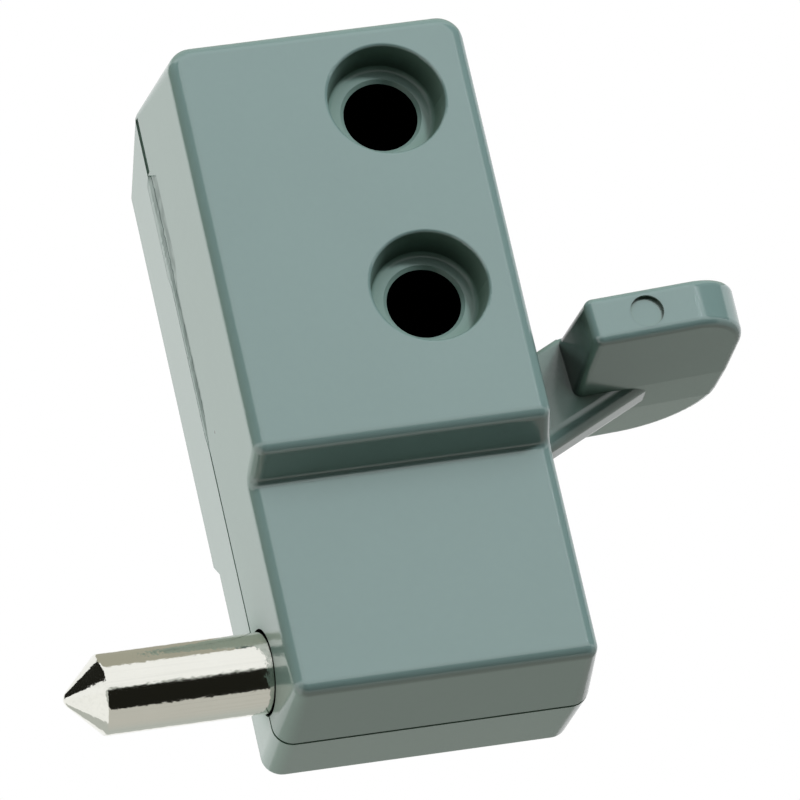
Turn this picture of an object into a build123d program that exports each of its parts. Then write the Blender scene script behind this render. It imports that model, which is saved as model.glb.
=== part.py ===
from build123d import *
from math import asin, atan2, cos, degrees, hypot, radians, sin, tan
import os

# Foot-operated lock for a sliding door. Sizes are in millimetres.
# Working axes: X from the body's centre line towards the lever, Y from the parting plane
# towards the door, Z up from the body's bottom edge. The lock is drawn with its bolt thrown.

# Body outline at the parting plane
body_width = 31.4
body_height = 68.8
corner_radius = 2.0
top_corner_radius = 1.2
wall = 2.2
parting_groove = 0.18

# Front housing
front_depth = 15.1
front_lower_depth = 10.7
front_draft = 3.9
front_top_corner_radius = 2.6
step_low_z = 22.9
step_high_z = 24.3
front_edge_radius = 1.25
step_root_radius = 0.8

# Back housing
back_depth = 10.4
back_recess = 2.0
back_recess_low_z = 22.4
back_recess_high_z = 24.0
back_left_slope = 0.1
back_right_slope = 1.0
back_bottom_rise = 0.45
back_top_fall = 3.8
back_top_corner_radius = 1.3
back_edge_radius = 0.5

# Trimmed casting gate on the left side, along the parting line
gate_top_drop = 7.2
gate_wide_drop = 17.8
gate_bottom_drop = 37.8
gate_front_width = 2.7
gate_back_width = 1.3
gate_depth = 0.2
flash_gap_width = 0.8
flash_gap_depth = 0.7

# Mounting screw holes
hole_x = 5.7
hole_low_z = 39.2
hole_pitch = 20.3
hole_radius = 3.65
counterbore_radius = 5.8
counterbore_floor_radius = 5.25
counterbore_depth = 3.8
counterbore_rim_radius = 0.35
counterbore_root_radius = 0.5
hole_edge_chamfer = 0.35
tube_wall = 1.3

# Bolt
bolt_diameter = 7.94
bolt_reach = 19.6
bolt_nose_half_angle = 45.0
bolt_tip_radius = 1.0
bolt_shoulder_radius = 0.5
bolt_travel = 17.5
bolt_y = -1.3
bolt_z = 7.25
bolt_tail = 2.6
bolt_clearance = 0.05
bolt_end_gap = 0.6
bolt_block_wall = 1.6
bolt_mouth_gap = 0.22
bolt_mouth_depth = 1.3

# Drive pin through the bolt's tail
drive_pin_x = -8.2
drive_pin_diameter = 3.0
drive_pin_setback = 0.35
fork_thickness = 3.2
fork_side_gap = 0.15
fork_prong = 1.7
fork_tip_overhang = 0.8
fork_slot_gap = 0.15
fork_pocket_gap = 0.6
fork_root_reach = 33.0
fork_slot_run_out = 6.0

# Lever
lever_swing = 22.8
pivot_x = -7.5
pivot_z = 49.0
pivot_pin_diameter = 4.76
pivot_front_seat = 5.0
pivot_back_seat = 4.6
pivot_boss_wall = 1.9
pin_end_gap = 0.2
pin_end_chamfer = 0.3
pin_press_gap = 0.02
pin_running_gap = 0.05
hub_radius = 5.2
inner_arm_width = 5.8
lever_thickness = 5.0
lever_side_gap = 0.25
arm_angle = 26.0
arm_height = 9.1
arm_x = 20.0
arm_z = 32.2
arm_root_blend = 2.5
arm_edge_radius = 0.7
arm_low_edge_radius = 1.6
arm_clear = 0.9

# Tread pad on the lever
pad_left_x = 20.0
pad_length = 16.8
pad_bottom_z = 30.4
pad_thickness = 6.5
pad_tilt = 3.0
pad_front_reach = 10.3
pad_back_reach = 7.0
pad_draft_angle = 4.4
pad_end_slant = 2.2
pad_front_corner = 5.0
pad_back_corner = 9.2
pad_edge_radius = 0.9
ejector_mark_radius = 1.65
ejector_mark_depth = 0.5
ejector_mark_x = 26.4
ejector_mark_z = 34.0

# Detent that holds the lever at each end of its swing
detent_radius_from_pivot = 27.0
detent_angle = -62.0
ball_diameter = 4.0
ball_entry = 0.35
ball_gap = 0.2
ball_bore_gap = 0.1
detent_dimple = 0.4
detent_boss_wall = 1.4
detent_bore_floor = 1.6
spring_wire = 0.45
spring_turns = 3

# Screws that hold the two housings together
screw_places = [(-9.5, 59.5), (hole_x, hole_low_z + hole_pitch / 2)]
screw_diameter = 3.0
screw_length = 13.0
screw_head_diameter = 5.6
screw_head_height = 2.0
screw_head_sink = 0.6
screw_hole_gap = 0.2
screw_thread_gap = 0.02
screw_head_gap = 0.3
screw_boss_wall = 1.4
screw_recess_width = 0.8
screw_recess_length = 3.2
screw_head_round = 0.9
screw_recess_depth = 1.1

# Values worked out from those above
half_width = body_width / 2
gate_top_z = body_height - gate_top_drop
gate_wide_z = body_height - gate_wide_drop
gate_bottom_z = body_height - gate_bottom_drop
bolt_radius = bolt_diameter / 2
bore_radius = bolt_radius + bolt_clearance
lever_front = bolt_y - lever_thickness / 2
lever_back = bolt_y + lever_thickness / 2
hole_places = [(hole_x, hole_low_z), (hole_x, hole_low_z + hole_pitch)]
bolt_rate = bolt_travel / radians(lever_swing)
fork_slot_width = drive_pin_diameter + 2 * fork_slot_gap
fork_width = fork_slot_width + 2 * fork_prong
block_top = bolt_z + bore_radius + bolt_block_wall


def about_pivot(x, z, degrees):
    """Turn a point in the X-Z plane about the lever's pivot, towards raised."""
    dx = x - pivot_x
    dz = z - pivot_z
    c = cos(radians(degrees))
    s = sin(radians(degrees))
    return (pivot_x + dx * c - dz * s, pivot_z + dx * s + dz * c)


def drive_pin_in_lever(degrees):
    """Where the drive pin lies on the lever when the lever is raised by this angle."""
    return about_pivot(drive_pin_x + bolt_rate * radians(degrees), bolt_z, -degrees)


raised_pin_x = drive_pin_x + bolt_travel
pin_reach = hypot(raised_pin_x - pivot_x, bolt_z - pivot_z)
fork_tip_reach = pin_reach + fork_tip_overhang
detent_x = pivot_x + detent_radius_from_pivot * cos(radians(detent_angle))
detent_z = pivot_z + detent_radius_from_pivot * sin(radians(detent_angle))
ball_radius = ball_diameter / 2
ball_y = lever_back - ball_entry + ball_radius


def post(x, z, radius, y_from, y_to):
    """Round bar along Y between two depths."""
    return Pos(x, (y_from + y_to) / 2, z) * Rot(X=90) * Cylinder(radius, y_to - y_from)


def circles(shape, radius, y):
    """Round edges of this radius at this depth."""
    return shape.edges().filter_by(GeomType.CIRCLE).filter_by(
        lambda e: abs(e.radius - radius) < 0.01 and abs(e.center().Y - y) < 0.01
    )


def slab(x_from, x_to, y_from, y_to, z_from, z_to):
    """Box between two corners."""
    size = (x_to - x_from, y_to - y_from, z_to - z_from)
    middle = ((x_from + x_to) / 2, (y_from + y_to) / 2, (z_from + z_to) / 2)
    return Pos(*middle) * Box(*size)


def facing_plate(y):
    """Drawing plane at this depth, seen from the front, with its normal to the front."""
    return Plane.XZ.offset(-y)


def rounded_plate(width, height, low_corner, top_corner):
    """Upright outline with one corner radius at its bottom and another at its top."""
    shape = Rectangle(width, height)
    shape = fillet(shape.vertices().group_by(Axis.Y)[0], low_corner)
    return fillet(shape.vertices().group_by(Axis.Y)[-1], top_corner)


def body_outline(inset):
    """Body outline at the parting plane, moved inwards by inset."""
    width = body_width - 2 * inset
    height = body_height - 2 * inset
    shape = rounded_plate(width, height, corner_radius - inset / 2, top_corner_radius - inset / 4)
    return facing_plate(0) * Pos(0, body_height / 2) * shape


def side_profile(points):
    """Prism across the body from a closed Y-Z outline."""
    outline = Plane.YZ * make_face(Polyline(*points, close=True))
    return extrude(outline, amount=body_width, both=True)


def parting_rebate(towards_front):
    """Fine groove that both castings leave round the outside of the parting plane."""
    ring = offset(body_outline(0), parting_groove) - offset(body_outline(0), -parting_groove)
    return extrude(ring, amount=towards_front * parting_groove)


def front_step(skin):
    """What is taken off the lower front; skin moves the cut inwards for the cavity."""
    face = -front_lower_depth + skin
    slope = (step_high_z - step_low_z) / (front_depth - front_lower_depth)
    run_out = front_depth + body_width
    return side_profile([
        (face, -body_width),
        (face, step_low_z + skin),
        (-run_out, step_low_z + skin + slope * (run_out + face)),
        (-run_out, -body_width),
    ])


def front_form():
    """Drafted block between the parting outline and the front face, whose top corners are rounder."""
    draw_in = front_depth * tan(radians(front_draft))
    width = body_width - 2 * draw_in
    height = body_height - 2 * draw_in
    shape = rounded_plate(width, height, corner_radius - draw_in, front_top_corner_radius)
    end = facing_plate(-front_depth) * Pos(0, body_height / 2) * shape
    return loft([body_outline(0), end], ruled=True)


def front_shell():
    """Outer form of the front housing: drafted block, stepped lower front, rounded edges."""
    block = front_form() - front_step(0)
    root = block.edges().filter_by(Axis.X).filter_by(
        lambda e: abs(e.center().Y + front_lower_depth) < 0.01 and e.center().Z > bolt_z
    )
    block = fillet(root, step_root_radius)
    upper = block.faces().sort_by(Axis.Y)[0]
    lower = block.faces().filter_by(Axis.Y).sort_by(Axis.Y)[1]
    sides = block.edges().filter_by(
        lambda e: step_low_z - 1 < e.center().Z < step_high_z + 1
        and abs(e.center().X) > half_width - wall and e.center().Y < -front_lower_depth
    )
    rims = upper.edges() + lower.edges().filter_by(lambda e: e.center().Z < step_low_z - 1) + sides
    return fillet(rims, front_edge_radius) - parting_rebate(1)


def front_cavity():
    """Space inside the front housing's walls, before its bosses are left standing."""
    space = extrude(body_outline(wall), amount=front_depth - wall, taper=front_draft)
    return space - front_step(wall)


def mounting_tubes(y_from, y_to):
    """Round walls about the mounting screws."""
    tubes = [post(x, z, hole_radius + tube_wall, y_from, y_to) for x, z in hole_places]
    return tubes[0] + tubes[1]


def bolt_block(y_from, y_to):
    """Solid metal about the bolt's bore, across the body."""
    return slab(-body_width, body_width, y_from, y_to, -body_height, block_top)


def bolt_bore(u_to):
    """Bolt's running bore, carried back to the depth u_to as a channel that a core can leave."""
    start = -body_width
    end = raised_pin_x + bolt_tail + bolt_end_gap
    bore = Pos((start + end) / 2, bolt_y, bolt_z) * Rot(Y=90) * Cylinder(bore_radius, end - start)
    mouth = Cylinder(bore_radius + bolt_mouth_gap, 2 * bolt_mouth_depth)
    bore += Pos(-half_width, bolt_y, bolt_z) * Rot(Y=90) * mouth
    if u_to > bolt_y:
        bore += slab(start, end, bolt_y, u_to, bolt_z - bore_radius, bolt_z + bore_radius)
    return bore


def fork_pocket():
    """Slot in the bolt block where the lever's fork swings."""
    left = drive_pin_x - fork_width / 2 - fork_pocket_gap
    right = half_width - wall + fork_side_gap
    half = fork_thickness / 2 + fork_side_gap
    low = pivot_z - fork_tip_reach - fork_pocket_gap
    return slab(left, right, bolt_y - half, bolt_y + half, low, block_top + bolt_block_wall)


def lever_mouth():
    """Opening in the right-hand wall where the lever's arm leaves and swings."""
    inner = half_width - wall
    low = along_arm(inner)[1] - arm_height / 2 / cos(radians(arm_angle)) - lever_side_gap
    raised = radians(arm_angle + lever_swing)
    px, pz = about_pivot(arm_x, arm_z, lever_swing)
    high = pz + (half_width - px) * tan(raised) + arm_height / 2 / cos(raised)
    y_from = lever_front - lever_side_gap
    y_to = lever_back + lever_side_gap
    return slab(inner - wall, body_width, y_from, y_to, low - lever_side_gap, high + lever_side_gap)


def gate_scar(width, lean):
    """Shallow filed patch on the left side of one housing, running out downwards."""
    points = [
        (0, gate_top_z), (width, gate_top_z - abs(width) / 2),
        (width, gate_wide_z), (width / 2, gate_wide_z - abs(width)),
        (width / 2, gate_bottom_z + 2 * abs(width)), (0, gate_bottom_z),
    ]
    face = Plane.YZ * make_face(Polyline(*points, close=True))
    skin = extrude(Pos(-gate_depth, 0, 0) * face, amount=2 * gate_depth)
    return Pos(-half_width, 0, 0) * Rot(Z=lean) * skin


def flash_gap():
    """Open seam above the gate, where the front casting's edge stands back."""
    inner = flash_gap_depth - half_width
    high = body_height - top_corner_radius
    return slab(-body_width, inner, -flash_gap_width, 0, gate_top_z, high)


def front_housing():
    """Front half of the casting, open towards the door."""
    shell = front_shell()
    deep = -front_depth
    bosses = mounting_tubes(deep, 0) + bolt_block(deep, 0)
    floor = deep + counterbore_depth
    for x, z in hole_places:
        bosses += post(x, z, counterbore_radius + tube_wall, deep, floor + tube_wall)
    seat = lever_front - lever_side_gap
    bosses += post(pivot_x, pivot_z, pivot_pin_diameter / 2 + pivot_boss_wall, deep, seat)
    for x, z in screw_places:
        bosses += post(x, z, screw_diameter / 2 + screw_boss_wall, deep, 0)
    shell -= front_cavity() - bosses
    for x, z in hole_places:
        shell -= post(x, z, hole_radius, deep, 0)
        cup = Cone(counterbore_floor_radius, counterbore_radius, counterbore_depth)
        shell -= Pos(x, deep + counterbore_depth / 2, z) * Rot(X=90) * cup
    shell = fillet(circles(shell, counterbore_radius, deep), counterbore_rim_radius)
    shell = fillet(circles(shell, counterbore_floor_radius, floor), counterbore_root_radius)
    shell = chamfer(circles(shell, hole_radius, floor), hole_edge_chamfer)
    pin_seat = pivot_pin_diameter / 2 + pin_press_gap
    shell -= post(pivot_x, pivot_z, pin_seat, seat - pivot_front_seat, seat)
    thread_end = screw_head_y() - screw_head_height - screw_length - 2 * screw_head_gap
    for x, z in screw_places:
        shell -= post(x, z, screw_diameter / 2 + screw_thread_gap, thread_end, 0)
    shell -= gate_scar(-gate_front_width, front_draft) + flash_gap()
    return shell - bolt_bore(0) - fork_pocket() - lever_mouth()


def back_form(inset, depth):
    """Solid between the parting outline and the smaller outline at the back."""
    near = body_outline(inset)
    low = back_bottom_rise + inset
    high = body_height - back_top_fall - inset
    left = -half_width + back_left_slope + inset
    right = half_width - back_right_slope - inset
    tight = back_top_corner_radius - inset / 4
    shape = rounded_plate(right - left, high - low, corner_radius - inset / 2, tight)
    end = facing_plate(depth) * Pos((left + right) / 2, (low + high) / 2) * shape
    return loft([near, end], ruled=True)


def back_recess_cut(skin):
    """What is taken off the lower back; skin moves the cut inwards for the cavity."""
    face = back_depth - back_recess - skin
    slope = (back_recess_high_z - back_recess_low_z) / back_recess
    run_out = back_depth + body_width
    return side_profile([
        (face, -body_width),
        (face, back_recess_low_z + skin),
        (run_out, back_recess_low_z + skin + slope * (run_out - face)),
        (run_out, -body_width),
    ])


def screw_head_y():
    """Depth of the outer face of the assembly screws' heads."""
    return back_depth - screw_head_sink


def back_housing():
    """Back half of the casting, which sits on the door."""
    shell = back_form(0, back_depth) - back_recess_cut(0)
    flats = shell.faces().filter_by(Axis.Y).sort_by(Axis.Y)
    rims = flats[-1].edges() + flats[-2].edges().filter_by(
        lambda e: e.center().Z < back_recess_low_z - 1
    )
    shell = fillet(rims, back_edge_radius) - parting_rebate(-1)
    head_seat = screw_head_y() - screw_head_height
    head_bore = screw_head_diameter / 2 + screw_head_gap
    near = lever_back + lever_side_gap
    bosses = mounting_tubes(0, back_depth) + bolt_block(0, back_depth)
    bosses += post(pivot_x, pivot_z, pivot_pin_diameter / 2 + pivot_boss_wall, near, back_depth)
    bosses += post(detent_x, detent_z, ball_radius + ball_bore_gap + detent_boss_wall, near, back_depth)
    for x, z in screw_places:
        bosses += post(x, z, screw_diameter / 2 + screw_boss_wall, 0, back_depth)
        bosses += post(x, z, head_bore + screw_boss_wall, head_seat - screw_boss_wall, back_depth)
    shell -= (back_form(wall, back_depth - wall) - back_recess_cut(wall)) - bosses
    for x, z in hole_places:
        shell -= post(x, z, hole_radius, 0, back_depth)
    for x, z in screw_places:
        shell -= post(x, z, screw_diameter / 2 + screw_hole_gap, 0, back_depth)
        shell -= post(x, z, head_bore, head_seat, back_depth)
    shell -= post(pivot_x, pivot_z, pivot_pin_diameter / 2 + pin_press_gap, near, near + pivot_back_seat)
    shell -= post(detent_x, detent_z, ball_radius + ball_bore_gap, near, back_depth - detent_bore_floor)
    shell -= gate_scar(gate_back_width, -degrees(atan2(back_left_slope, back_depth)))
    return shell - bolt_bore(bolt_y) - fork_pocket() - lever_mouth()


def bolt():
    """Turned bolt with a conical nose and a slotted tail that the lever's fork enters."""
    nose_x = -half_width - bolt_reach
    tail_x = drive_pin_x + bolt_tail
    slope = radians(bolt_nose_half_angle)
    tip_centre = nose_x + bolt_tip_radius
    half_turn = (radians(90) - slope) / 2
    tip_middle = (tip_centre - bolt_tip_radius * cos(half_turn), bolt_tip_radius * sin(half_turn))
    tip_end = (tip_centre - bolt_tip_radius * sin(slope), bolt_tip_radius * cos(slope))
    shoulder_x = tip_end[0] + (bolt_radius - tip_end[1]) / tan(slope)
    profile = Curve() + [
        ThreePointArc((nose_x, 0), tip_middle, tip_end),
        Polyline(tip_end, (shoulder_x, bolt_radius), (tail_x, bolt_radius), (tail_x, 0), (nose_x, 0)),
    ]
    turned = revolve(make_face(profile), Axis.X)
    rings = turned.edges().filter_by(GeomType.CIRCLE).group_by(SortBy.RADIUS)[-1]
    shoulder = rings.sort_by(Axis.X)[0]
    turned = Pos(0, bolt_y, bolt_z) * fillet(shoulder, bolt_shoulder_radius)
    half = fork_thickness / 2 + fork_side_gap
    lean = radians(lever_swing)
    slot_front = drive_pin_x - fork_width / 2 / cos(lean) - bolt_radius * tan(lean) - fork_pocket_gap
    turned -= slab(slot_front, body_width, bolt_y - half, bolt_y + half, -body_height, body_height)
    cross_bore = drive_pin_diameter / 2 + pin_press_gap
    return turned - post(drive_pin_x, bolt_z, cross_bore, -body_width, body_width)


def drive_pin():
    """Cross pin pressed through the cheeks of the bolt's tail."""
    half = bolt_radius - drive_pin_setback
    return post(drive_pin_x, bolt_z, drive_pin_diameter / 2, bolt_y - half, bolt_y + half)


def pivot_pin():
    """Headless pin that the lever turns on, seated in a blind bore in each housing."""
    front_end = lever_front - lever_side_gap - pivot_front_seat + pin_end_gap
    back_end = lever_back + lever_side_gap + pivot_back_seat - pin_end_gap
    pin = post(pivot_x, pivot_z, pivot_pin_diameter / 2, front_end, back_end)
    return chamfer(pin.edges().filter_by(GeomType.CIRCLE), pin_end_chamfer)


def bar(start, end, width):
    """Flat strip between two points of the X-Z plane."""
    length = hypot(end[0] - start[0], end[1] - start[1])
    turn = degrees(atan2(end[1] - start[1], end[0] - start[0]))
    return Pos((start[0] + end[0]) / 2, (start[1] + end[1]) / 2) * Rot(Z=turn) * Rectangle(length, width)


def along_arm(x):
    """Point of the outer arm's centre line at this X."""
    return (x, arm_z + (x - arm_x) * tan(radians(arm_angle)))


def down_inner_arm(reach):
    """Point at this distance from the pivot towards the drive pin."""
    length = hypot(drive_pin_x - pivot_x, bolt_z - pivot_z)
    share = reach / length
    return (pivot_x + (drive_pin_x - pivot_x) * share, pivot_z + (bolt_z - pivot_z) * share)


def pad_profile():
    """Tread pad seen from the front, tilted a little upwards away from the body."""
    corner = Pos(pad_left_x, pad_bottom_z) * Rot(Z=pad_tilt)
    return corner * Rectangle(pad_length, pad_thickness, align=Align.MIN)


def lever_plate():
    """Hub, inner arm and outer arm of the lever as one flat casting."""
    web = Pos(pivot_x, pivot_z) * Circle(hub_radius)
    web += bar((pivot_x, pivot_z), down_inner_arm(pivot_z - block_top - arm_clear), inner_arm_width)
    web += bar(along_arm(pivot_x), along_arm(pad_left_x + pad_length / 2), arm_height)
    elbow = along_arm(pivot_x + inner_arm_width / 2)
    above = (elbow[0], elbow[1] + arm_height / 2)
    web = fillet(web.vertices().sort_by_distance(above)[0], arm_root_blend)
    cap = Pos(pad_left_x, pad_bottom_z) * Rot(Z=pad_tilt) * Pos(0, pad_thickness)
    web -= cap * Rectangle(2 * pad_length, 2 * pad_length, align=Align.MIN)
    plate = extrude(facing_plate(lever_back) * web, amount=lever_thickness)
    lean = Vector(cos(radians(arm_angle)), 0, sin(radians(arm_angle)))
    across = Axis((0, 0, 0), (-lean.Z, 0, lean.X))
    long_edges = plate.edges().filter_by(Axis((0, 0, 0), lean)).group_by(across)
    plate = fillet(long_edges[-1], arm_edge_radius)
    low_edges = plate.edges().filter_by(Axis((0, 0, 0), lean)).group_by(across)[0]
    return fillet(low_edges, arm_low_edge_radius)


def lever_fork():
    """Thin forked end of the inner arm, with a slot that moves the bolt evenly as the lever turns."""
    blade = bar(down_inner_arm(fork_root_reach), down_inner_arm(fork_tip_reach), fork_width)
    angles = [lever_swing * k / 4 for k in range(5)] + [lever_swing + fork_slot_run_out]
    path = Polyline(*[drive_pin_in_lever(angle) for angle in angles])
    blade -= SlotArc(path, fork_slot_width)
    return extrude(facing_plate(bolt_y + fork_thickness / 2) * blade, amount=fork_thickness)


def pad_plan():
    """Upright prism that gives the pad its rounded outer corners, seen from above."""
    right = pad_left_x + pad_length * cos(radians(pad_tilt))
    front = lever_front - pad_front_reach
    back = lever_back + pad_back_reach
    back_right = (right - pad_end_slant, back)
    plan = make_face(Polyline((0, front), (right, front), back_right, (0, back), close=True))
    plan = fillet(plan.vertices().sort_by_distance((right, front))[0], pad_front_corner)
    plan = fillet(plan.vertices().sort_by_distance(back_right)[0], pad_back_corner)
    return extrude(plan, amount=body_height)


def tread_pad():
    """Tread pad: one band as thick as the arm, drafted towards its front and back ends."""
    band = extrude(facing_plate(lever_back) * pad_profile(), amount=lever_thickness)
    front = extrude(facing_plate(lever_front) * pad_profile(), amount=pad_front_reach, taper=pad_draft_angle)
    rear = extrude(facing_plate(lever_back) * pad_profile(), amount=pad_back_reach, taper=pad_draft_angle)
    pad = band + front + mirror(rear, about=facing_plate(lever_back))
    pad &= pad_plan()
    return fillet(pad.edges(), pad_edge_radius)


def detent_track():
    """Groove that the ball runs along in the lever's back face, with a deeper dimple at each end."""
    groove_radius = ball_radius + ball_gap
    end_x, end_z = about_pivot(detent_x, detent_z, -lever_swing)
    along = (-sin(radians(detent_angle)), 0, cos(radians(detent_angle)))
    section = Plane(origin=(detent_x, ball_y, detent_z), z_dir=along)
    track = revolve(section * Circle(groove_radius), Axis((pivot_x, 0, pivot_z), (0, 1, 0)), lever_swing)
    for x, z in ((detent_x, detent_z), (end_x, end_z)):
        track += Pos(x, ball_y - detent_dimple, z) * Sphere(groove_radius)
        track += post(x, z, groove_radius, ball_y - detent_dimple, ball_y)
    return track


def foot_lever():
    """Lever in one casting: hub, inner arm with its fork, outer arm and tread pad."""
    lever = lever_plate() + lever_fork() + tread_pad()
    lever -= post(pivot_x, pivot_z, pivot_pin_diameter / 2 + pin_running_gap, -body_width, body_width)
    face = lever_front - pad_front_reach
    mark = post(ejector_mark_x, ejector_mark_z, ejector_mark_radius, face, face + ejector_mark_depth)
    lever -= mark
    return lever - detent_track()


def detent_ball():
    """Steel ball that the spring presses into the lever's detent track."""
    return Pos(detent_x, ball_y, detent_z) * Sphere(ball_radius)


def detent_spring():
    """Coil spring between the ball and the floor of its bore."""
    coil_radius = ball_radius - spring_wire
    floor = back_depth - detent_bore_floor
    reach = ball_radius + spring_wire / 2
    start = ball_y + reach * cos(asin(coil_radius / reach))
    height = floor - spring_wire / 2 - start
    path = Pos(detent_x, start, detent_z) * Rot(X=-90) * Helix(height / spring_turns, height, coil_radius)
    section = Plane(origin=path @ 0, z_dir=path % 0) * Circle(spring_wire / 2)
    return sweep(section, path=path, is_frenet=True)


def housing_screws():
    """Two pan-head screws, put in from the back, with a cross recess in each head."""
    seat = screw_head_y() - screw_head_height
    screws = []
    for x, z in screw_places:
        shank = post(x, z, screw_diameter / 2, seat - screw_length, seat)
        head = post(x, z, screw_head_diameter / 2, seat, screw_head_y())
        head = fillet(head.edges().filter_by(GeomType.CIRCLE).sort_by(Axis.Y)[-1], screw_head_round)
        for turn in (0, 90):
            blade = Box(screw_recess_length, 2 * screw_recess_depth, screw_recess_width)
            head -= Pos(x, screw_head_y(), z) * Rot(Y=turn) * blade
        screws.append(shank + head)
    return Compound(children=screws)


if __name__ == "__main__":
    os.makedirs("parts", exist_ok=True)
    to_mount = Pos(-hole_x, -back_depth, -hole_low_z - hole_pitch / 2)
    pieces = (
        front_housing, back_housing, bolt, drive_pin, foot_lever,
        pivot_pin, detent_ball, detent_spring, housing_screws,
    )
    for piece in pieces:
        export_step(to_mount * piece(), f"parts/{piece.__name__}.step")
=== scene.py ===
# %% [markdown]
# # A foot lock for a sliding door
# The solids come from the CAD model and stay as they are. This lesson gives them their
# finishes: grey-green paint on three castings, bright plating on the bolt, and plain
# steel on the small pieces inside. Every size below is in metres, in the CAD model's own
# frame: X towards the tread, Y into the door, Z up.

import bpy
import numpy as np
from mathutils import Matrix, Vector, noise


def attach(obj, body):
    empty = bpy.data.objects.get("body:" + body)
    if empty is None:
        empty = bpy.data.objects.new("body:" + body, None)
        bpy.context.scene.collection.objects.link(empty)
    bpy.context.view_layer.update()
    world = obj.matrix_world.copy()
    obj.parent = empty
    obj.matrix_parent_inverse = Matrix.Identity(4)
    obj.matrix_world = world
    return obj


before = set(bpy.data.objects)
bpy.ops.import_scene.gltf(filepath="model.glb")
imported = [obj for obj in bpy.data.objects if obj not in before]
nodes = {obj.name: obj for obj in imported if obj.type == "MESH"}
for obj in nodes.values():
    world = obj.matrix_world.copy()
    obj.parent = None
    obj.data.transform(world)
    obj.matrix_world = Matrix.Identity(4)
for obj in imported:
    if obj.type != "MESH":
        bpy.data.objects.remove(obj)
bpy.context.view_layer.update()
scene = bpy.context.scene
mm = 0.001
print("pieces:", sorted(nodes))

# %% [markdown]
# ## Camera
# The lock was seen from a little below and to its left, from far away with a long lens.
# A long lens keeps parallel edges nearly parallel, which is why the sensor's view angle is
# so small here. The three columns of the matrix are the camera's right, up and back.

# %% Make the camera
camera_right = Vector((0.967836, -0.143327, -0.206764))
camera_up = Vector((0.127787, -0.427882, 0.894755))
camera_back = Vector((-0.216713, -0.892398, -0.395804))
camera_place = Vector((-0.265953, -1.098156, -0.497485))
image_side = 800
focal_pixels = 12552.6

lens = bpy.data.cameras.new("camera")
lens.sensor_width = 36
lens.lens = focal_pixels * lens.sensor_width / image_side
lens.clip_end = 20
camera = bpy.data.objects.new("camera", lens)
turn = Matrix((camera_right, camera_up, camera_back)).transposed()
camera.matrix_world = Matrix.Translation(camera_place) @ turn.to_4x4()
scene.collection.objects.link(camera)
scene.camera = camera
scene.view_settings.view_transform = "Standard"
print("lens:", round(lens.lens, 1), "mm")

# %% [markdown]
# ## Node helpers
# Materials are small programs made of nodes. One helper adds a node and sets its values, and
# a few more use it for the kinds of node that come up again and again.

# %% Helpers for nodes


def add(tree, kind, inputs=None, **settings):
    """Add one node; inputs maps socket names or numbers to a value or to another socket."""
    made = tree.nodes.new(kind)
    for key, value in settings.items():
        setattr(made, key, value)
    for key, value in (inputs or {}).items():
        if isinstance(value, bpy.types.NodeSocket):
            tree.links.new(value, made.inputs[key])
        else:
            made.inputs[key].default_value = value
    return made


def math_node(tree, operation, *values, clamp=False):
    """Add a Math node and give back its output."""
    made = add(tree, "ShaderNodeMath", dict(enumerate(values)), operation=operation, use_clamp=clamp)
    return made.outputs[0]


def ramp(tree, value, low, high):
    """Stretch a value so that low becomes 0 and high becomes 1."""
    made = add(tree, "ShaderNodeMapRange", {"Value": value, "From Min": low, "From Max": high})
    return made.outputs[0]


def between(tree, value, low, high):
    """Give 1 where a value lies between two limits, and 0 elsewhere."""
    above = math_node(tree, "GREATER_THAN", value, low)
    return math_node(tree, "MULTIPLY", above, math_node(tree, "LESS_THAN", value, high))


def mix(tree, factor, first, second, blend="MIX"):
    """Mix two colours; the colour version of the node has its sockets at 0, 6 and 7."""
    inputs = {0: factor, 6: first, 7: second}
    return add(tree, "ShaderNodeMix", inputs, data_type="RGBA", blend_type=blend).outputs[2]


def cover(tree, mask, strength, colour, film):
    """Lay a film over a colour where a mask is, as strongly as strength says."""
    return mix(tree, math_node(tree, "MULTIPLY", mask, strength), colour, film)


print("node helpers ready")

# %% [markdown]
# ## Group helpers
# A node group is built once, with named inputs and outputs, and can then be placed in many
# materials, each with its own values. One helper opens a group, another places it.

# %% Helpers for groups


def open_group(name, inputs, outputs):
    """Start a node group; inputs are (name, socket type, value), outputs (name, socket type)."""
    group = bpy.data.node_groups.new(name, "ShaderNodeTree")
    for label, kind, value in inputs:
        socket = group.interface.new_socket(label, in_out="INPUT", socket_type="NodeSocket" + kind)
        socket.default_value = value
    for label, kind in outputs:
        group.interface.new_socket(label, in_out="OUTPUT", socket_type="NodeSocket" + kind)
    entry = group.nodes.new("NodeGroupInput").outputs
    leave = group.nodes.new("NodeGroupOutput").inputs
    return group, entry, leave


def place(tree, group, inputs):
    """Put a node group into a material and give back its outputs."""
    return add(tree, "ShaderNodeGroup", inputs, node_tree=group).outputs


print("group helpers ready")

# %% [markdown]
# ## Mottle
# No paint or plating has one even colour: the film is a little thicker here and thinner
# there. A soft noise makes the colour drift, and a finer one adds grain. Both are read from
# object coordinates, which stay with the piece when it moves.

# %% Node group: mottle
patch_weight = 0.7
grain_weight = 0.3
grain_fineness = 14.0

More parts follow.
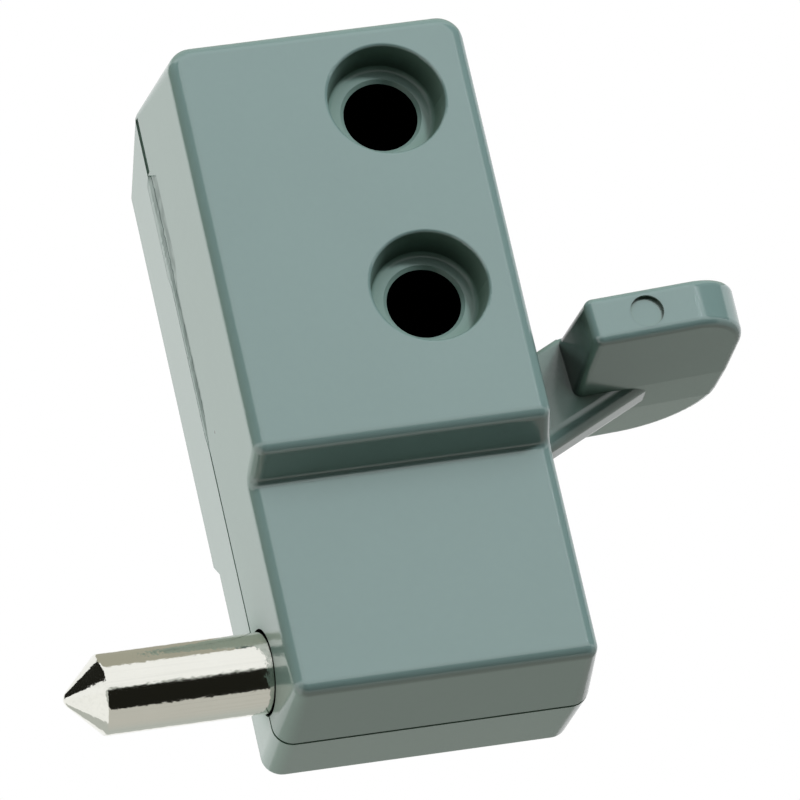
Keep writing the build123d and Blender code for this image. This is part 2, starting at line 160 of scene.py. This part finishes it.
mottle, entry, leave = open_group(
    "mottle",
    [("Colour", "Color", (0.5, 0.5, 0.5, 1)), ("Patches", "Float", 150.0), ("Depth", "Float", 0.06)],
    [("Colour", "Color"), ("Drift", "Float")],
)
where = add(mottle, "ShaderNodeTexCoord").outputs["Object"]
patches = add(mottle, "ShaderNodeTexNoise", {"Vector": where, "Scale": entry["Patches"], "Detail": 3.0})
grain_size = math_node(mottle, "MULTIPLY", entry["Patches"], grain_fineness)
grain = add(mottle, "ShaderNodeTexNoise", {"Vector": where, "Scale": grain_size, "Detail": 2.0})
grain_part = math_node(mottle, "MULTIPLY", grain.outputs[0], grain_weight)
both = math_node(mottle, "MULTIPLY_ADD", patches.outputs[0], patch_weight, grain_part)
drift = math_node(mottle, "SUBTRACT", both, 0.5)
gain = math_node(mottle, "MULTIPLY_ADD", drift, entry["Depth"], 1.0)
gain_colour = add(mottle, "ShaderNodeCombineColor", {0: gain, 1: gain, 2: gain}).outputs[0]
mottle.links.new(mix(mottle, 1.0, entry["Colour"], gain_colour, "MULTIPLY"), leave["Colour"])
mottle.links.new(both, leave["Drift"])
print("group:", mottle.name)

# %% [markdown]
# ## Orange peel
# Sprayed or powder paint dries with a fine ripple that painters call orange peel. It is far
# too shallow to model, so it becomes a height for a Bump node.

# %% Node group: orange peel
dust_fineness = 3.1
dust_weight = 0.25

peel, entry, leave = open_group("orange peel", [("Size", "Float", 900.0)], [("Height", "Float")])
where = add(peel, "ShaderNodeTexCoord").outputs["Object"]
ripple = add(peel, "ShaderNodeTexNoise", {"Vector": where, "Scale": entry["Size"], "Detail": 1.0})
finer = math_node(peel, "MULTIPLY", entry["Size"], dust_fineness)
dust = add(peel, "ShaderNodeTexNoise", {"Vector": where, "Scale": finer, "Detail": 1.0})
height = math_node(peel, "MULTIPLY_ADD", dust.outputs[0], dust_weight, ripple.outputs[0])
peel.links.new(height, leave["Height"])
print("group:", peel.name)

# %% [markdown]
# ## Specks
# Castings show a few pinholes and grains caught under the paint. A Voronoi texture gives one
# random point per cell; only cells whose random colour passes a limit get a speck.

# %% Node group: specks
specks, entry, leave = open_group(
    "specks",
    [("Cells", "Float", 260.0), ("Size", "Float", 0.1), ("Share", "Float", 0.05)],
    [("Mask", "Float")],
)
where = add(specks, "ShaderNodeTexCoord").outputs["Object"]
cells = add(specks, "ShaderNodeTexVoronoi", {"Vector": where, "Scale": entry["Cells"]})
inside = math_node(specks, "LESS_THAN", cells.outputs["Distance"], entry["Size"])
pick = add(specks, "ShaderNodeSeparateColor", {0: cells.outputs["Color"]}).outputs[0]
chosen = math_node(specks, "LESS_THAN", pick, entry["Share"])
specks.links.new(math_node(specks, "MULTIPLY", inside, chosen), leave["Mask"])
print("group:", specks.name)

# %% [markdown]
# ## Edge film
# Wet paint draws back from sharp edges, and plating wears bright on them. The Bevel node
# gives the normal that a rounded edge would have; where it differs from the true normal,
# there is an edge close by.

# %% Node group: edge film
match_on_flat = 0.995
match_on_edge = 0.85

edge_film, entry, leave = open_group("edge film", [("Width", "Float", 0.6 * mm)], [("Mask", "Float")])
rounded = add(edge_film, "ShaderNodeBevel", {"Radius": entry["Width"]}, samples=4).outputs[0]
plain = add(edge_film, "ShaderNodeNewGeometry").outputs["Normal"]
match = add(edge_film, "ShaderNodeVectorMath", {0: rounded, 1: plain}, operation="DOT_PRODUCT")
edge_mask = ramp(edge_film, match.outputs["Value"], match_on_flat, match_on_edge)
edge_film.links.new(edge_mask, leave["Mask"])
print("group:", edge_film.name)

# %% [markdown]
# ## Drawn lines
# A bar that was drawn and polished, or a pin that was ground, has fine lines along or round
# it. Noise stretched by very different scales on the three axes gives such lines.

# %% Node group: drawn lines
drawn, entry, leave = open_group(
    "drawn lines", [("Stretch", "Vector", (40.0, 4000.0, 4000.0))], [("Height", "Float")]
)
where = add(drawn, "ShaderNodeTexCoord").outputs["Object"]
pulled = add(drawn, "ShaderNodeVectorMath", {0: where, 1: entry["Stretch"]}, operation="MULTIPLY")
lines = add(drawn, "ShaderNodeTexNoise", {"Vector": pulled.outputs[0], "Scale": 1.0, "Detail": 3.0})
drawn.links.new(lines.outputs[0], leave["Height"])
print("group:", drawn.name)

# %% [markdown]
# ## Recesses
# Hollows get painted shade: they are darkened and lose some sheen, as shade would darken
# them. The Ambient Occlusion node tells how much of the space round a point is open.
# Neighbours count too, so painted shade falls on the lever where it comes close to the
# housing. Faces of a hollow that look down get more of this painted shade, as if light came
# from above: the second input says how much that counts. Mask finds the darkest places, and
# Soft is a wider mask for an olive painted shade and for the loss of sheen.

# %% Node group: recesses
open_at_rim, open_in_depth = 0.56, 0.28
open_beside, open_close = 0.80, 0.40
looks_up, looks_down = 0.2, -0.8

recess, entry, leave = open_group(
    "recesses",
    [("Reach", "Float", 16 * mm), ("Downward shade", "Float", 0.0)],
    [("Mask", "Float"), ("Soft", "Float")],
)
space = add(recess, "ShaderNodeAmbientOcclusion", {"Distance": entry["Reach"]}, samples=20).outputs["AO"]
facing = add(recess, "ShaderNodeTexCoord").outputs["Normal"]
upward = add(recess, "ShaderNodeSeparateXYZ", {0: facing}).outputs["Z"]
# Faces that look down get more painted shade, as if lit from above.
upward_cut = math_node(recess, "SUBTRACT", ramp(recess, upward, looks_up, looks_down), 1.0)
downward_share = math_node(recess, "MULTIPLY_ADD", entry["Downward shade"], upward_cut, 1.0)
# Mask is painted shade in the hollows; Soft is a wider mask for olive painted shade and lost sheen.
painted_shade_mask = math_node(recess, "MULTIPLY", ramp(recess, space, open_at_rim, open_in_depth), downward_share)
recess.links.new(painted_shade_mask, leave["Mask"])
recess.links.new(ramp(recess, space, open_beside, open_close), leave["Soft"])
print("group:", recess.name)

# %% [markdown]
# ## Bore shade
# Inside the two long screw holes and the bolt's bore, the casting is painted black as shade.
# The mask is 1 close to an axis and behind the edge of its hole. Both housings use it, so it
# is a group too. The bolt's axis and radius are measured on the bolt itself.

# %% Measure the bolt


def box_of(name):
    """Low and high corner of a CAD piece's box."""
    points = [Vector(corner) for corner in nodes[name].bound_box]
    return Vector(map(min, zip(*points))), Vector(map(max, zip(*points)))


bolt_low, bolt_high = box_of("bolt")
bolt_axis = (bolt_low + bolt_high) / 2
bolt_radius = bolt_high.z - bolt_axis.z
print("bolt radius:", round(bolt_radius / mm, 3), "mm")

# %% Node group: bore shade
hole_height = 10.15 * mm
hole_reach = 3.75 * mm
hole_edge = -21.3 * mm
bolt_reach = bolt_radius + 0.28 * mm
left_face = -21.3 * mm

bores, entry, leave = open_group(
    "bore shade",
    [("Hole reach", "Float", hole_reach), ("Bolt reach", "Float", bolt_reach)],
    [("Mask", "Float")],
)
where = add(bores, "ShaderNodeTexCoord").outputs["Object"]
across, depth, up = add(bores, "ShaderNodeSeparateXYZ", {0: where}).outputs


def from_axis(tree, first, second):
    """Distance from an axis, from the two coordinates that run across it."""
    squares = math_node(tree, "MULTIPLY_ADD", first, first, math_node(tree, "MULTIPLY", second, second))
    return math_node(tree, "SQRT", squares)


from_hole = math_node(bores, "SUBTRACT", math_node(bores, "ABSOLUTE", up), hole_height)
in_hole = math_node(bores, "LESS_THAN", from_axis(bores, across, from_hole), entry["Hole reach"])
in_hole = math_node(bores, "MULTIPLY", in_hole, math_node(bores, "GREATER_THAN", depth, hole_edge))
bolt_y = math_node(bores, "SUBTRACT", depth, bolt_axis.y)
bolt_z = math_node(bores, "SUBTRACT", up, bolt_axis.z)
in_bore = math_node(bores, "LESS_THAN", from_axis(bores, bolt_y, bolt_z), entry["Bolt reach"])
in_bore = math_node(bores, "MULTIPLY", in_bore, math_node(bores, "GREATER_THAN", across, left_face))
bores.links.new(math_node(bores, "MAXIMUM", in_hole, in_bore), leave["Mask"])
print("group:", bores.name)

# %% [markdown]
# ## Filed strip
# A casting's gate and flash are filed off along the parting line. The CAD model has the
# shallow patch on the left side; this mask finds its floor by its depth below the drafted
# side, so that it can look rougher and darker than the rest.

# %% Node group: filed strip
side_at_parting = -21.4 * mm
parting_depth = box_of("front_housing")[1].y
side_slope = 0.0682
strip_low = -18.6 * mm
strip_high = 12.3 * mm
strip_front = -13.3 * mm
strip_back = -9.0 * mm
stroke_scales = (900.0, 1500.0, 500.0)
bare_least, bare_spread = 0.45, 0.55
scratch_high, scratch_low = 0.64, 0.44

strip, entry, leave = open_group(
    "filed strip",
    [("Least", "Float", 0.08 * mm), ("Most", "Float", 0.5 * mm)],
    [("Mask", "Float"), ("Height", "Float")],
)
where = add(strip, "ShaderNodeTexCoord").outputs["Object"]
across, depth, up = add(strip, "ShaderNodeSeparateXYZ", {0: where}).outputs
forward = math_node(strip, "MAXIMUM", math_node(strip, "SUBTRACT", parting_depth, depth), 0.0)
side = math_node(strip, "MULTIPLY_ADD", forward, side_slope, side_at_parting)
below = math_node(strip, "SUBTRACT", across, side)
mask = between(strip, below, entry["Least"], entry["Most"])
mask = math_node(strip, "MULTIPLY", mask, between(strip, up, strip_low, strip_high))
mask = math_node(strip, "MULTIPLY", mask, between(strip, depth, strip_front, strip_back))
strokes = add(strip, "ShaderNodeVectorMath", {0: where, 1: stroke_scales}, operation="MULTIPLY")
scratch = add(strip, "ShaderNodeTexNoise", {"Vector": strokes.outputs[0], "Scale": 1.0, "Detail": 3.0})
scratch = scratch.outputs[0]
worn = ramp(strip, scratch, scratch_high, scratch_low)
worn = math_node(strip, "MULTIPLY_ADD", worn, bare_spread, bare_least)
strip.links.new(math_node(strip, "MULTIPLY", mask, worn), leave["Mask"])
strip.links.new(math_node(strip, "MULTIPLY", mask, scratch), leave["Height"])
print("group:", strip.name)

# %% [markdown]
# ## Paint
# The three castings share one grey-green paint with a satin gloss. The colour drifts a
# little, the film is thinner along the edges, and a fine ripple breaks up the light. The
# sheen is the Principled shader's coat, because the weight of a coat can fall in hollows
# with painted shade, where the gate was filed and in the bores, which are painted black as
# shade.

# %% Paint colours and strengths
paint_colour = (0.272, 0.388, 0.338, 1)
thin_film = (0.205, 0.290, 0.262, 1)
# The olive film and the near-black film below are painted shade for the hollows.
olive_shade_film = (0.262, 0.358, 0.250, 1)
painted_shade_film = (0.014, 0.018, 0.013, 1)
filed_film = (0.170, 0.245, 0.215, 1)
speck_colour = (0.05, 0.06, 0.055, 1)
# Black painted shade inside the bores.
painted_bore_shade = (0.002, 0.002, 0.002, 1)
thin_strength = 0.35
speck_strength = 0.7
olive_shade_strength = 0.4
painted_shade_strength = 0.95
print("paint colour:", paint_colour[:3])

# %% Paint material
coat_ior = 1.85
coat_rough = 0.14
paint_drift = 0.10
paint_edge = 0.5 * mm
speck_values = {"Cells": 330.0, "Size": 0.055}
rough_least, rough_spread = 0.09, 0.10
filed_rough = 0.25
filed_dulled = 0.4
filed_depth = 6.0
ripple_height = 0.02 * mm


def painted(name, patches, ripple, ripple_depth, pits, reach, dulled, housing=False):
    """Grey-green paint on a casting, with painted shade in its hollows; a housing also has a filed strip
    and bores painted black as shade.
    """
    material = bpy.data.materials.new(name)
    material.use_nodes = True
    tree = material.node_tree
    shader = tree.nodes["Principled BSDF"]
    shader.inputs["Specular IOR Level"].default_value = 0.0
    shader.inputs["Coat IOR"].default_value = coat_ior
    shader.inputs["Coat Roughness"].default_value = coat_rough
    film = place(tree, mottle, {"Colour": paint_colour, "Patches": patches, "Depth": paint_drift})
    edge = place(tree, edge_film, {"Width": paint_edge})["Mask"]
    spots = place(tree, specks, {**speck_values, "Share": pits})["Mask"]
    # Masks for painted shade in the hollows; on the housings, faces that look down get more of it.
    hollow_shade = place(tree, recess, {"Reach": reach, "Downward shade": 1.0 if housing else 0.0})
    colour = cover(tree, edge, thin_strength, film["Colour"], thin_film)
    colour = cover(tree, spots, speck_strength, colour, speck_colour)
    # Painted shade: the hollows are tinted olive, darkened nearly to black and lose some coat.
    colour = cover(tree, hollow_shade["Soft"], olive_shade_strength, colour, olive_shade_film)
    colour = cover(tree, hollow_shade["Mask"], painted_shade_strength, colour, painted_shade_film)
    coat = math_node(tree, "MULTIPLY_ADD", hollow_shade["Soft"], -dulled, 1.0)
    rough = math_node(tree, "MULTIPLY_ADD", film["Drift"], rough_spread, rough_least)
    height = math_node(tree, "SUBTRACT", place(tree, peel, {"Size": ripple})["Height"], spots)
    if housing:
        filed = place(tree, strip, {})
        colour = mix(tree, filed["Mask"], colour, filed_film)
        rough = math_node(tree, "MULTIPLY_ADD", filed["Mask"], filed_rough, rough)
        coat = math_node(tree, "MULTIPLY_ADD", filed["Mask"], -filed_dulled, coat)
        height = math_node(tree, "MULTIPLY_ADD", filed["Height"], filed_depth, height)
        # The bores are painted black as shade, without coat.
        bore_shade = place(tree, bores, {})["Mask"]
        colour = mix(tree, bore_shade, colour, painted_bore_shade)
        coat = math_node(tree, "SUBTRACT", coat, bore_shade, clamp=True)
    bump_values = {"Height": height, "Strength": ripple_depth, "Distance": ripple_height}
    bump = add(tree, "ShaderNodeBump", bump_values)
    tree.links.new(colour, shader.inputs["Base Color"])
    tree.links.new(rough, shader.inputs["Roughness"])
    tree.links.new(coat, shader.inputs["Coat Weight"])
    tree.links.new(bump.outputs[0], shader.inputs["Normal"])
    return material


print("paint ready")

# %% [markdown]
# ## Three castings
# The halves and the lever were never painted quite alike, so each gets its own patches,
# ripple and pits. The lever keeps its sheen, since feet and hands rub it clean.

# %% Paint the castings
finishes = {
    "front_housing": painted(
        "front casting paint", patches=90.0, ripple=800.0, ripple_depth=0.35,
        pits=0.03, reach=16 * mm, dulled=0.92, housing=True,
    ),
    "back_housing": painted(
        "back casting paint", patches=110.0, ripple=900.0, ripple_depth=0.45,
        pits=0.03, reach=16 * mm, dulled=0.92, housing=True,
    ),
    "foot_lever": painted(
        "lever casting paint", patches=130.0, ripple=850.0, ripple_depth=0.40,
        pits=0.12, reach=12 * mm, dulled=0.10,
    ),
}
print("painted:", sorted(finishes))

# %% [markdown]
# ## Plating and steel
# The bolt is turned from bar and plated bright, so it is nearly a mirror with faint lines
# along its length. The pins and the ball are ground steel, the spring is drawn wire and the
# screws are zinc plated: the same idea with other colours, lines and roughness.

# %% Metal material
skin_values = {"Patches": 220.0, "Depth": 0.08}
metal_edge = 0.25 * mm
edge_strength = 0.6
edge_gain = 1.12
streak_gain = 0.6
streak_from, streak_full = 0.50, 0.72
line_rough = 0.08
wave_stretch = (260.0, 700.0, 700.0)
grain_scale = 1500.0


def toned(tint, gain):
    """A lighter or darker version of a metal's tint, as a colour with alpha."""
    return tuple(min(1.0, gain * value) for value in tint) + (1,)


def metal(name, tint, rough, stretch, line_depth, wave_depth=0.0, grain_depth=0.0, streaks=0.0):
    """Bare or plated metal with fine lines; depths are in millimetres of height."""
    material = bpy.data.materials.new(name)
    material.use_nodes = True
    tree = material.node_tree
    shader = tree.nodes["Principled BSDF"]
    shader.inputs["Metallic"].default_value = 1.0
    skin = place(tree, mottle, {**skin_values, "Colour": toned(tint, 1.0)})
    edge = place(tree, edge_film, {"Width": metal_edge})["Mask"]
    fine = place(tree, drawn, {"Stretch": stretch})["Height"]
    slow = place(tree, drawn, {"Stretch": wave_stretch})["Height"]
    grain = place(tree, peel, {"Size": grain_scale})["Height"]
    dull = ramp(tree, fine, streak_from, streak_full)
    colour = cover(tree, edge, edge_strength, skin["Colour"], toned(tint, edge_gain))
    colour = cover(tree, dull, streaks, colour, toned(tint, streak_gain))
    height = math_node(tree, "MULTIPLY", fine, line_depth)
    height = math_node(tree, "MULTIPLY_ADD", slow, wave_depth, height)
    height = math_node(tree, "MULTIPLY_ADD", grain, grain_depth, height)
    bump = add(tree, "ShaderNodeBump", {"Height": height, "Distance": mm})
    tree.links.new(colour, shader.inputs["Base Color"])
    tree.links.new(math_node(tree, "MULTIPLY_ADD", fine, line_rough, rough), shader.inputs["Roughness"])
    tree.links.new(bump.outputs[0], shader.inputs["Normal"])
    return material


print("metal ready")

# %% [markdown]
# ## Bolt, pins, spring and screws
# The bolt shows most, so it alone has slow waves, grain and dull streaks in its plating. The
# pins and the ball share one material.

# %% Give the metal pieces their finish
bolt_plating = metal(
    "bright plating", (0.84, 0.84, 0.78), 0.05, (40.0, 3000.0, 3000.0), line_depth=0.0010,
    wave_depth=0.016, grain_depth=0.020, streaks=0.12,
)
ground = metal("ground steel", (0.56, 0.55, 0.54), 0.18, (4000.0, 60.0, 4000.0), line_depth=0.003)
wire = metal("spring wire", (0.42, 0.42, 0.43), 0.30, (900.0, 900.0, 900.0), line_depth=0.003)
zinc = metal("zinc plating", (0.60, 0.60, 0.57), 0.28, (1500.0, 200.0, 1500.0), line_depth=0.003)
finishes.update({
    "bolt": bolt_plating,
    "drive_pin": ground,
    "pivot_pin": ground,
    "detent_ball": ground,
    "detent_spring": wire,
    "housing_screws": zinc,
})
for name, material in finishes.items():
    nodes[name].data.materials.clear()
    nodes[name].data.materials.append(material)
print("finished:", len(finishes), "pieces")

# %% [markdown]
# ## Torn gate
# Where the casting's gate was broken off, a low rough ridge is left in the filed patch. It is
# a strip of five-sided rings: flush with the side at its back edge, ragged at its crest and
# running out in front. The sizes of the ridge are in millimetres. In each ring, the first
# number of a corner runs back along the side and the second goes into it.

# %% Shape the torn gate
ridge_heights = (-18.3, -15.8, 0.4, 1.7, 11.6, 12.2)
ridge_reaches = (0.05, 0.68, 0.68, 1.33, 1.33, 0.05)
ridge_rows = 120
back_sink, front_sink, root_sink = 0.02, 0.20, 0.28
front_reach, front_ragged = -0.4, 0.6
crest_place, crest_sink, crest_ragged = 0.45, 0.07, 0.06
front_track, front_waves = 3.0, 1.7
crest_track, crest_waves = 9.0, 2.3

corners = []
for row in range(ridge_rows + 1):
    height = ridge_heights[0] + (ridge_heights[-1] - ridge_heights[0]) * row / ridge_rows
    back = float(np.interp(height, ridge_heights, ridge_reaches))
    tear = noise.noise((front_track, 0.0, front_waves * height))
    front = front_reach * min(1.0, back) * (1 + front_ragged * tear)
    crest = crest_sink + crest_ragged * noise.noise((crest_track, 0.0, crest_waves * height))
    ring = [(back, back_sink), (crest_place * back, crest), (front, front_sink)]
    ring += [(front, root_sink), (back, root_sink)]
    for along, inward in ring:
        corners.append((side_at_parting + inward * mm, parting_depth + along * mm, height * mm))
print("torn gate:", len(corners), "corners")

# %% [markdown]
# ## Ridge mesh
# The rings are joined by faces, with a cap at each end. The piece rides on the housing, as
# everything that is added has to ride on a body.

# %% Make the torn gate
sides = len(ring)
faces = [tuple(range(sides)), tuple(range(len(corners) - 1, len(corners) - 1 - sides, -1))]
for row in range(ridge_rows):
    for corner in range(sides):
        here = row * sides + corner
        beside = row * sides + (corner + 1) % sides
        faces.append((beside, here, here + sides, beside + sides))
ridge_mesh = bpy.data.meshes.new("torn_gate")
ridge_mesh.from_pydata(corners, [], faces)
ridge_mesh.materials.append(finishes["back_housing"])
ridge = bpy.data.objects.new("torn_gate", ridge_mesh)
scene.collection.objects.link(ridge)
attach(ridge, "housing")
print("torn gate:", len(faces), "faces")

# %% [markdown]
# ## Floor
# The lock hangs in the air, as it would on a door, and the camera looks up at it, so the
# pale floor lies far below. Reflections see it as a plain glow. It sends no soft light up,
# so that the undersides stay as dark as under a real lock.

# %% Make the floor
floor_height = -2.0
floor_side = 30
floor_colour = (0.82, 0.82, 0.82, 1)
floor_rough = 0.8
floor_near = (0.55, 0.54, 0.50, 1)
floor_far = (0.50, 0.52, 0.49, 1)
near_end, far_end = 1.0, 3.0

bpy.ops.mesh.primitive_plane_add(size=floor_side, location=(0, 0, floor_height))
floor = bpy.context.object
floor.name = "floor"
floor_paint = bpy.data.materials.new("floor paint")
floor_paint.use_nodes = True
tree = floor_paint.node_tree
floor_shader = tree.nodes["Principled BSDF"]
floor_shader.inputs["Base Color"].default_value = floor_colour
floor_shader.inputs["Roughness"].default_value = floor_rough
where = add(tree, "ShaderNodeTexCoord").outputs["Object"]
away = add(tree, "ShaderNodeVectorMath", {0: where}, operation="LENGTH").outputs["Value"]
tone = mix(tree, ramp(tree, away, near_end, far_end), floor_near, floor_far)
glow = add(tree, "ShaderNodeEmission", {"Color": tone})
mirrored = add(tree, "ShaderNodeLightPath").outputs["Is Glossy Ray"]
both = add(tree, "ShaderNodeMixShader", {0: mirrored, 1: floor_shader.outputs[0], 2: glow.outputs[0]})
tree.links.new(both.outputs[0], tree.nodes["Material Output"].inputs["Surface"])
floor.data.materials.append(floor_paint)
floor.visible_diffuse = False
print("floor at", floor_height, "m")

# %% [markdown]
# ## World
# The background is white to the camera, to reflections and through glass. As a light, the
# world is soft: fairly bright above, bright behind the lock's left side like a lit wall, and
# nearly dark below and in front.

# %% Make the world
world_dark = (0.02, 0.02, 0.02, 1)
world_top = (0.42, 0.45, 0.46, 1)
world_back = (1.36, 1.38, 1.30, 1)
white_backdrop = (1, 1, 1, 1)
wall_way = (-0.45, 0.89, 0.0)
top_from, top_full = -0.1, 0.9
wall_from, wall_full = 0.0, 0.9

world = bpy.data.worlds.new("studio")
scene.world = world
world.use_nodes = True
sky = world.node_tree
backdrop = sky.nodes["Background"]
rays = add(sky, "ShaderNodeLightPath").outputs
seen = math_node(sky, "MAXIMUM", rays["Is Camera Ray"], rays["Is Glossy Ray"])
seen = math_node(sky, "MAXIMUM", seen, rays["Is Transmission Ray"])
way = add(sky, "ShaderNodeTexCoord").outputs["Generated"]
rise = add(sky, "ShaderNodeSeparateXYZ", {0: way}).outputs["Z"]
back = add(sky, "ShaderNodeVectorMath", {0: way, 1: wall_way}, operation="DOT_PRODUCT").outputs["Value"]
light = mix(sky, ramp(sky, rise, top_from, top_full), world_dark, world_top)
light = mix(sky, ramp(sky, back, wall_from, wall_full), light, world_back, "ADD")
sky.links.new(mix(sky, seen, light, white_backdrop), backdrop.inputs["Color"])
print("world:", world.name)

# %% [markdown]
# ## Lamps
# A large soft lamp above the camera lights the front. A small, stronger one to its right
# gives the shadows in the counterbores and beside the tread, and a weak one fills the left
# side. All three are kept out of reflections, where the white world already gives the paint
# an even sheen.

# %% Make the lamps
aim = Vector((0, -0.012, -0.01))
lamp_colour = (0.92, 1.0, 1.12)


def face_lock(made, way, distance):
    """Put an object at a distance from the lock, in the direction way, and turn it to face it."""
    direction = Vector(way).normalized()
    made.location = aim + direction * distance
    made.rotation_euler = direction.to_track_quat("Z", "Y").to_euler()


def lamp(name, way, distance, size, power):
    """Square soft lamp that reflections don't show."""
    data = bpy.data.lights.new(name, "AREA")
    data.size = size
    data.energy = power
    data.color = lamp_colour
    made = bpy.data.objects.new(name, data)
    made.visible_glossy = False
    face_lock(made, way, distance)
    scene.collection.objects.link(made)
    return made


lamps = [
    lamp("front lamp", (0.217, -0.892, 0.45), distance=0.75, size=0.62, power=1.55),
    lamp("key lamp", (0.42, -0.90, 0.40), distance=1.0, size=0.11, power=4.0),
    lamp("left lamp", (-0.95, 0.2, 0.25), distance=0.9, size=0.5, power=0.7),
]
print("lamps:", len(lamps))

# %% [markdown]
# ## Cards
# Polished metal needs something dark to reflect, or it looks like white plastic, so
# photographers hang dark cards round it. Four dark cards, an olive one above and a white one
# at the lower left are seen only by reflections.

# %% Hang the cards
black = (0.012, 0.012, 0.009)
olive = (0.40, 0.39, 0.32)
white = (0.98, 0.98, 0.97)


def card(name, way, distance, width, height, shade):
    """Plain card, facing the lock, that only reflections can see."""
    bpy.ops.mesh.primitive_plane_add(size=1)
    made = bpy.context.object
    made.name = name
    made.scale = (width, height, 1)
    face_lock(made, way, distance)
    coat = bpy.data.materials.new(name)
    coat.use_nodes = True
    tree = coat.node_tree
    glow = add(tree, "ShaderNodeEmission", {"Color": (*shade, 1)})
    tree.links.new(glow.outputs[0], tree.nodes["Material Output"].inputs["Surface"])
    made.data.materials.append(coat)
    for hidden in ("visible_camera", "visible_diffuse", "visible_shadow", "visible_transmission"):
        setattr(made, hidden, False)
    return made


cards = [
    card("low dark card", (0.22, -0.70, -0.68), distance=0.35, width=0.6, height=0.35, shade=black),
    card("left dark card", (-0.82, -0.05, 0.57), distance=0.5, width=0.7, height=0.36, shade=black),
    card("left front dark card", (-0.60, -0.60, 0.50), distance=0.5, width=0.4, height=0.30, shade=black),
    card("right front dark card", (0.81, -0.41, 0.42), distance=0.5, width=0.5, height=0.45, shade=black),
    card("left white card", (-0.866, 0.084, -0.488), distance=0.5, width=0.5, height=0.5, shade=white),
    card("top grey card", (0.22, 0.16, 0.97), distance=0.5, width=0.7, height=0.86, shade=olive),
]
print("cards:", len(cards))
